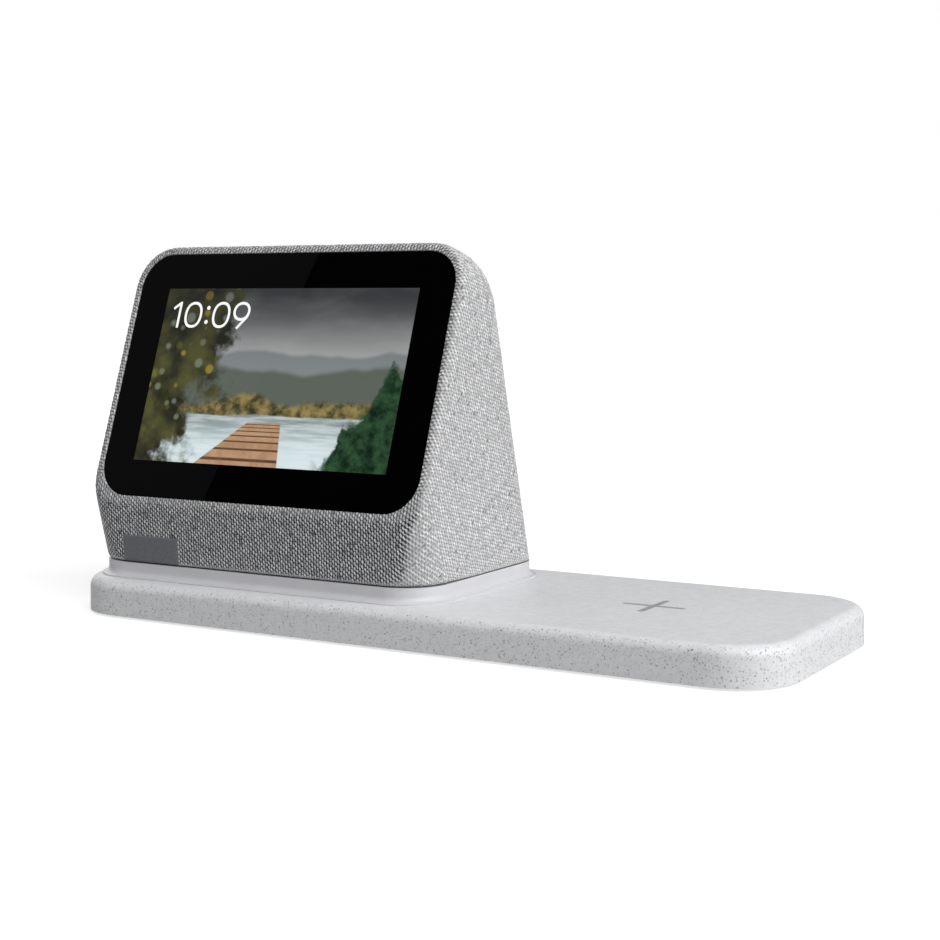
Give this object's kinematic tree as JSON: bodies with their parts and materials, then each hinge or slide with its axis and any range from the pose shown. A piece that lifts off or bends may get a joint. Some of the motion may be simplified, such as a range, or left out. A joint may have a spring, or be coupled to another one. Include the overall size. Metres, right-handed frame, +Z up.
{
  "type": "smart speaker",
  "caption": "Fabric-covered wedge smart speaker with a reclined clock display, standing in the flared nest of a long flat wireless charging dock.",
  "frame": {"origin": "centre of the dock's footprint, on the surface that it stands on", "axes": "+Z up, +X along the dock towards its charging pad, display facing -Y"},
  "size_m": [0.218, 0.081, 0.1061],
  "materials": {
    "fabric": "woven, heathered",
    "tag": "woven",
    "housing": "moulded",
    "cover_glass": "polished",
    "panel": "polarised film",
    "gasket": "foam tape",
    "steel": "plated",
    "flex": "polyimide",
    "board": "solder mask",
    "chip": "moulded",
    "aluminium": "pressed",
    "contact": "gold plated",
    "copper": "enamelled wire",
    "ferrite": "sintered",
    "shell": "speckled",
    "collar": "satin diffuser",
    "inner": "moulded",
    "led": "clear",
    "black": "moulded",
    "rubber": "matt",
    "control": "satin",
    "cone": "pressed paper"
  },
  "bodies": {
    "dock": {"dock_deck": "shell", "dock_base": "shell", "dock_feet": "rubber", "dock_screws": "steel", "light_ring": "collar", "light_strip": "board", "night_leds": "led", "nest_plate": "inner", "pogo_block": "black", "charging_coil": "copper", "ferrite_disc": "ferrite", "align_magnets": "ferrite", "coil_carrier": "inner", "dock_board": "board", "dock_chips": "chip", "usb_port_shell": "steel", "usb_port_tongue": "chip", "dock_power_jack": "black", "dock_jack_pin": "contact"},
    "contact_pins": {"pogo_pins": "contact"},
    "volume_up": {"volume_up_button": "control"},
    "volume_down": {"volume_down_button": "control"},
    "mic_switch": {"mic_switch_knob": "control"},
    "cone": {"speaker_cone": "cone", "voice_coil": "copper"},
    "head": {"fabric_sleeve": "fabric", "fabric_tag": "tag", "head_housing": "housing", "speaker_box": "housing", "switch_body": "housing", "screen_glass": "cover_glass", "display_panel": "panel", "glass_gasket": "gasket", "speaker_gasket": "gasket", "display_frame": "steel", "board_shield": "steel", "base_screws": "steel", "board_screws": "steel", "top_plate": "steel", "pole_yoke": "steel", "display_flex": "flex", "antenna": "flex", "main_board": "board", "button_board": "board", "tact_switches": "chip", "mics": "chip", "heat_spreader": "aluminium", "contact_pads": "contact", "head_jack_pin": "contact", "ring_magnet": "ferrite", "base_plate": "inner", "head_power_jack": "black", "speaker_frame": "black", "base_pad": "rubber", "mic_boots": "rubber", "speaker_surround": "rubber", "switch_bezel": "control"}
  },
  "joints": [
    {"name": "head_lift", "type": "slide", "parent": "dock", "child": "head", "axis": [0, 0, 1], "range_m": [0, 0.06]},
    {"name": "volume_up_press", "type": "slide", "parent": "head", "child": "volume_up", "axis": [0, -0.2419, -0.9703], "range_m": [0, 0.0006], "stiffness_N_per_m": 600},
    {"name": "volume_down_press", "type": "slide", "parent": "head", "child": "volume_down", "axis": [0, -0.2419, -0.9703], "range_m": [0, 0.0006], "stiffness_N_per_m": 600},
    {"name": "mic_switch_slide", "type": "slide", "parent": "head", "child": "mic_switch", "axis": [-1, 0, 0], "range_m": [0, 0.0024]},
    {"name": "cone_stroke", "type": "slide", "parent": "head", "child": "cone", "axis": [0, 0.9641, 0.2656], "range_m": [-0.0007, 0.0007], "stiffness_N_per_m": 1000},
    {"name": "contact_pin_press", "type": "slide", "parent": "dock", "child": "contact_pins", "axis": [0, 0, 1], "range_m": [-0.0009, 0], "stiffness_N_per_m": 400}
  ]
}
